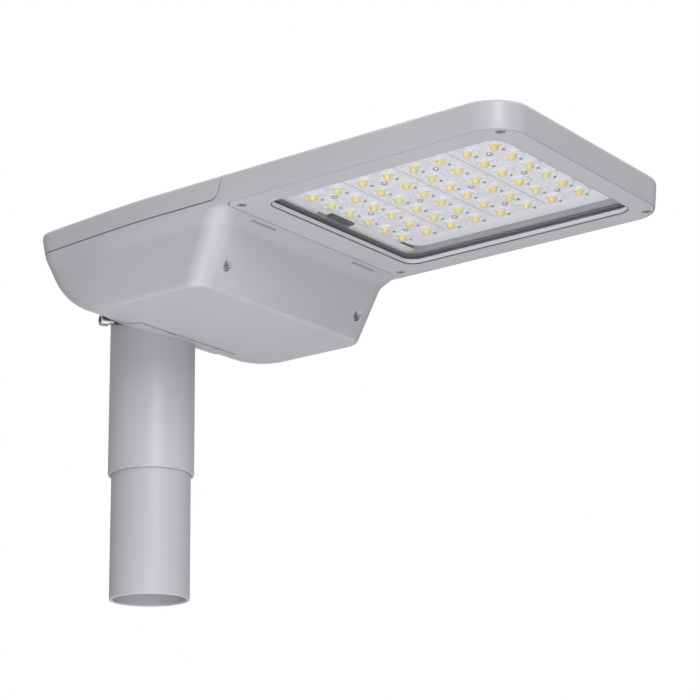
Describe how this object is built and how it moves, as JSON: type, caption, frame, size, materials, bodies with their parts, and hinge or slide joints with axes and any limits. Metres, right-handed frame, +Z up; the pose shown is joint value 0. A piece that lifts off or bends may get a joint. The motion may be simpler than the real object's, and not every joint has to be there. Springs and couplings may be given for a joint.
{
  "type": "street lamp post",
  "caption": "LED street lamp head on the top of its round post: flat rectangular head with a glazed light unit, a control-gear bowl, a hinged top cover and a tilting post-top sleeve.",
  "frame": {"origin": "on the post's axis, at the cut lower end of the post section", "axes": "+Z up along the post, +X from the post towards the tip of the lamp head, +Y across the head"},
  "size_m": [0.5454, 0.274, 0.342],
  "materials": {
    "head_paint": "satin light-grey powder coat on die-cast aluminium",
    "post_paint": "satin light-grey powder coat on galvanised steel",
    "stainless": "plain stainless fasteners, slightly dulled",
    "glass": "clear toughened flat glass",
    "lens": "clear moulded acrylic",
    "board": "white solder-resist on a metal-core board",
    "silicone": "black silicone foam",
    "black_plastic": "black moulded nylon",
    "white_plastic": "white moulded polycarbonate",
    "driver_case": "light grey potted casing",
    "red_insulation": "red silicone wire insulation",
    "black_insulation": "black silicone wire insulation",
    "brown_insulation": "brown wire insulation",
    "blue_insulation": "blue wire insulation"
  },
  "bodies": {
    "post": {"pole_section": "post_paint", "spigot_adapter": "head_paint", "clamp_screw_left": "stainless", "clamp_screw_right": "stainless", "tilt_bolt_left": "stainless", "tilt_bolt_right": "stainless", "tilt_ring_left": "stainless", "tilt_ring_right": "stainless"},
    "head": {"main_housing": "head_paint", "glass_frame": "head_paint", "cover_glass": "glass", "glass_gasket": "silicone", "frame_screw_1": "stainless", "frame_screw_2": "stainless", "frame_screw_3": "stainless", "frame_screw_4": "stainless", "led_board": "board", "lens_plate_1": "lens", "lens_plate_2": "lens", "lens_plate_3": "lens", "lens_plate_4": "lens", "board_connector": "black_plastic", "connector_flap": "white_plastic", "gear_tray": "stainless", "wall_screw_left": "stainless", "wall_screw_right": "stainless", "led_driver": "driver_case", "surge_protector": "black_plastic", "terminal_block": "white_plastic", "disconnector_socket": "black_plastic", "cable_clamp": "black_plastic", "cable_clamp_screw_1": "stainless", "cable_clamp_screw_2": "stainless", "cable_gland": "black_plastic", "gland_nut": "black_plastic", "breather_vent": "black_plastic", "led_lead_black": "black_insulation", "led_lead_red": "red_insulation", "mains_lead_blue": "blue_insulation", "mains_lead_brown": "brown_insulation", "cover_gasket": "silicone", "tilt_washer_left": "stainless", "tilt_washer_right": "stainless", "hinge_pin_left": "stainless", "hinge_pin_right": "stainless"},
    "cover": {"top_cover": "head_paint", "disconnector_plug": "white_plastic", "latch_pin_left": "stainless", "latch_pin_right": "stainless"},
    "latch_left": {"latch_left": "stainless"},
    "latch_right": {"latch_right": "stainless"}
  },
  "joints": [
    {"name": "head_tilt", "type": "hinge", "parent": "post", "child": "head", "pos_m": [0, 0, 0.293], "axis": [0, -1, 0], "range_deg": [0, 15]},
    {"name": "cover_hinge", "type": "hinge", "parent": "head", "child": "cover", "pos_m": [0.2125, 0, 0.3385], "axis": [0, 1, 0], "range_deg": [0, 100]},
    {"name": "latch_left_swing", "type": "hinge", "parent": "cover", "child": "latch_left", "pos_m": [-0.0434, 0.079, 0.3265], "axis": [0, 1, 0], "range_deg": [0, 90]},
    {"name": "latch_right_swing", "type": "hinge", "parent": "cover", "child": "latch_right", "pos_m": [-0.0434, -0.079, 0.3265], "axis": [0, 1, 0], "range_deg": [0, 90]}
  ]
}
